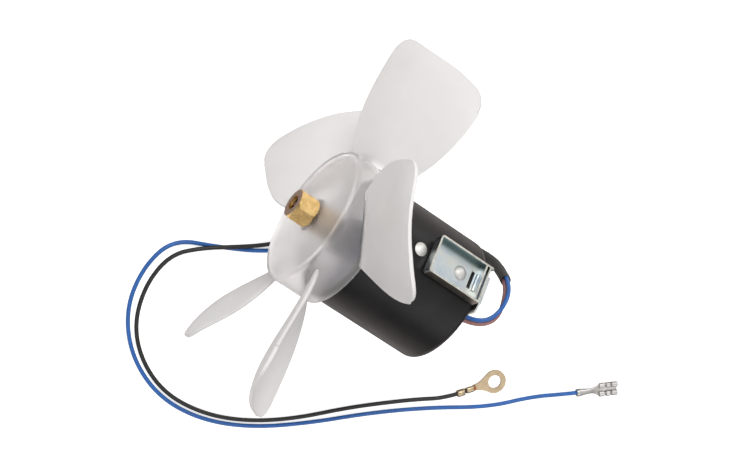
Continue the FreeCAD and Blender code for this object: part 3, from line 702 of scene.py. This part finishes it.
def ring_plate():
    outline = ring_outline()
    places = []
    for reach, across in outline:
        shrink = ring_hole / math.hypot(reach - ring_centre, across)
        hole = (ring_centre + (reach - ring_centre) * shrink, across * shrink)
        for lift in (plate_low + plate_thickness, plate_low):
            places.append(spot(ring_wire, reach, across, lift))
            places.append(spot(ring_wire, *hole, lift))
    faces = []
    for index in range(len(outline)):
        a = 4 * index
        b = 4 * ((index + 1) % len(outline))
        faces.append((a, b, b + 1, a + 1))
        faces.append((b + 2, a + 2, a + 3, b + 3))
        faces.append((a + 2, b + 2, b, a))
        faces.append((a + 1, b + 1, b + 3, a + 3))
    return places, faces


def ring_end():
    parts = [ring_plate()] + [loft(ring_wire, stations) for stations in (ring_grip, ring_web, ring_crimp)]
    made = mesh_piece("ring_end", *joined(parts), "brass")
    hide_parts("ring_terminal")
    return made


def strand_ends():
    # Bare strands that show past the crimp, every second one a little shorter
    middle = strand_count // 2
    parts = []
    for index in range(strand_count):
        lift = strand_lift - strand_drop * abs(index - middle)
        stop = strand_stop - strand_shortfall * (index % 2)
        stations = [(strand_start, strand_radius, strand_radius, lift),
                    (stop, strand_tip_radius, strand_tip_radius, lift)]
        parts.append(loft(ring_wire, stations, (index - middle) * strand_spacing, strand_sides))
    return mesh_piece("ring_strands", *joined(parts), "enamelled_copper")


def insulation_end():
    return mesh_piece("insulation_end", *loft(ring_wire, insulation_stations), "black_pvc")


def spade_roll(start, stop, across):
    # One length of the spade's rolled edge, with its ends bevelled
    width, height = roll_half_width, roll_half_height
    stations = [
        (start, width - roll_bevel, height - roll_bevel, roll_lift),
        (start + roll_bevel, width, height, roll_lift),
        (stop - roll_bevel, width, height, roll_lift),
        (stop, width - roll_bevel, height - roll_bevel, roll_lift)]
    return loft(spade_wire, stations, across)


def spade_end():
    parts = [loft(spade_wire, spade_barrel), loft(spade_wire, spade_plate)]
    for across in (-roll_across, roll_across):
        parts += [spade_roll(start, stop, across) for start, stop in roll_lengths]
    made = mesh_piece("spade_end", *joined(parts), "tinned_brass")
    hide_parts("spade_terminal")
    return made


def spade_inside_shade():
    # A dark piece inside the rolled edges, as painted shade for their inside, seen in the gaps between
    # their lengths
    parts = [loft(spade_wire, roll_inside_shade, across) for across in (-roll_across, roll_across)]
    return mesh_piece("spade_inside_shade", *joined(parts), "lamination_steel")


# Brush springs, coiled again here, each with a mesh of its own
def tube(centres, radius, sides):
    places = []
    for index, centre in enumerate(centres):
        way = way_at(centres, index)
        across = way.cross(upward).normalized()
        over = way.cross(across)
        places += oval(centre, across * radius, over * radius, sides)
    return places, capped_wall(len(centres), sides)


def spring_coil(name, side):
    solid = nodes[name]
    corners = [solid.matrix_world @ Vector(corner) for corner in solid.bound_box]
    middle_x = sum(corner.x for corner in corners) / len(corners)
    ends = sorted((corner.z for corner in corners), key=abs)
    inner, outer = ends[0], ends[-1]
    first = inner + side * spring_wire
    last = outer - side * spring_wire
    steps = spring_turns * steps_per_turn
    centres = []
    for step in range(steps + 1):
        turn = 2 * math.pi * spring_turns * step / steps
        height = first + (last - first) * step / steps
        centres.append(Vector((middle_x + spring_radius * math.cos(turn), spring_radius * math.sin(turn),
                               height)))
    slot = next(row["material_slot"] for row in frame["record"]["subparts"] if row["node"] == name)
    made = mesh_piece(name + "_coil", *tube(centres, spring_wire, spring_sides), slot)
    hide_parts(name)
    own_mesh(made)


spring_coil("brush_spring_upper", 1)
spring_coil("brush_spring_lower", -1)
ring = ring_end()
ring_strands = strand_ends()
insulation = insulation_end()
spade = spade_end()
inside = spade_inside_shade()
sleeve = oval_sleeve()
blue = lead("blue_wire", blue_route(), "blue_pvc", "blue_lead")
brown = lead("brown_wire", brown_route(), "brown_pvc", "brown_lead")
black = lead("black_wire", black_route(), "black_pvc", "black_lead")


# Floor, light and camera
def stage_white():
    # Plain white to the eye and through the plastic. In the mirror of metal and enamel it has a painted
    # glow instead, as a painted reflection: grey under the motor and pale to both sides of it.
    made = material("floor_white")
    set_input(made, "Base Color", floor_white)
    set_input(made, "Roughness", floor_roughness)
    path = add_node(made, "ShaderNodeLightPath")
    through = path.outputs["Is Transmission Ray"]
    seen = calculate(made, "MAXIMUM", path.outputs["Is Camera Ray"], through)
    strength = calculate(made, "MULTIPLY", seen, floor_glow)
    glow = add_node(made, "ShaderNodeEmission", {"Strength": strength})
    plain = made.node_tree.nodes["Principled BSDF"]
    white = add_node(made, "ShaderNodeAddShader", {0: plain.outputs[0], 1: glow.outputs[0]})
    beside_motor = spread(made, size_of(made, along(made, sideways)), floor_mirror_zone)
    mirror_colour = mixed(made, beside_motor, near_floor_mirror, far_floor_mirror)
    mirror = add_node(made, "ShaderNodeEmission", {"Color": mirror_colour})
    mirrored = calculate(made, "SUBTRACT", path.outputs["Is Glossy Ray"], through, clamp=True)
    inputs = {0: mirrored, 1: white.outputs[0], 2: mirror.outputs[0]}
    choice = add_node(made, "ShaderNodeMixShader", inputs)
    plug(made, made.node_tree.nodes["Material Output"].inputs["Surface"], choice.outputs[0])
    return made


def floor():
    bpy.ops.mesh.primitive_plane_add(size=floor_size, location=(0, 0, surface_z - floor_gap))
    made = bpy.context.object
    made.name = "floor"
    made.data.materials.append(stage_white())


def area_light(name, place, width, power):
    # A round lamp that points at the frame's origin, inside the can
    data = bpy.data.lights.new(name, "AREA")
    data.shape = "DISK"
    data.size = width
    data.energy = power
    made = bpy.data.objects.new(name, data)
    made.location = place
    made.rotation_euler = (-Vector(place)).to_track_quat("-Z", "Y").to_euler()
    bpy.context.scene.collection.objects.link(made)


def world_light():
    # The camera sees plain white. Everything else is lit by a pale ceiling with darker sides, so that
    # metal and enamel have something to mirror.
    world = bpy.data.worlds.new("studio")
    bpy.context.scene.world = world
    world.use_nodes = True
    place = add_node(world, "ShaderNodeTexCoord").outputs["Generated"]
    height = add_node(world, "ShaderNodeSeparateXYZ", {"Vector": place}).outputs["Z"]
    sky = colours(world, height, [(start, (level, level, level)) for start, level in sky_levels], "EASE")
    seen = add_node(world, "ShaderNodeLightPath").outputs["Is Camera Ray"]
    plug(world, world.node_tree.nodes["Background"].inputs["Color"], mixed(world, seen, sky, (1, 1, 1)))


def camera():
    right = camera_up.cross(camera_back).normalized()
    up = camera_back.cross(right)
    data = bpy.data.cameras.new("camera")
    data.sensor_width = sensor_width
    data.lens = focal_px * sensor_width / photo_width
    data.shift_x = (photo_width / 2 - aim_px[0]) / photo_width
    data.shift_y = (aim_px[1] - photo_height / 2) / photo_width
    data.clip_start = nearest_seen
    data.clip_end = farthest_seen
    made = bpy.data.objects.new("camera", data)
    turn = Matrix((right, up, camera_back)).transposed().to_4x4()
    made.matrix_world = Matrix.Translation(aim + camera_back * camera_distance) @ turn
    bpy.context.scene.collection.objects.link(made)
    bpy.context.scene.camera = made


floor()
camera()
world_light()
for lamp in lamps:
    area_light(*lamp)
bpy.context.scene.view_settings.view_transform = "Standard"
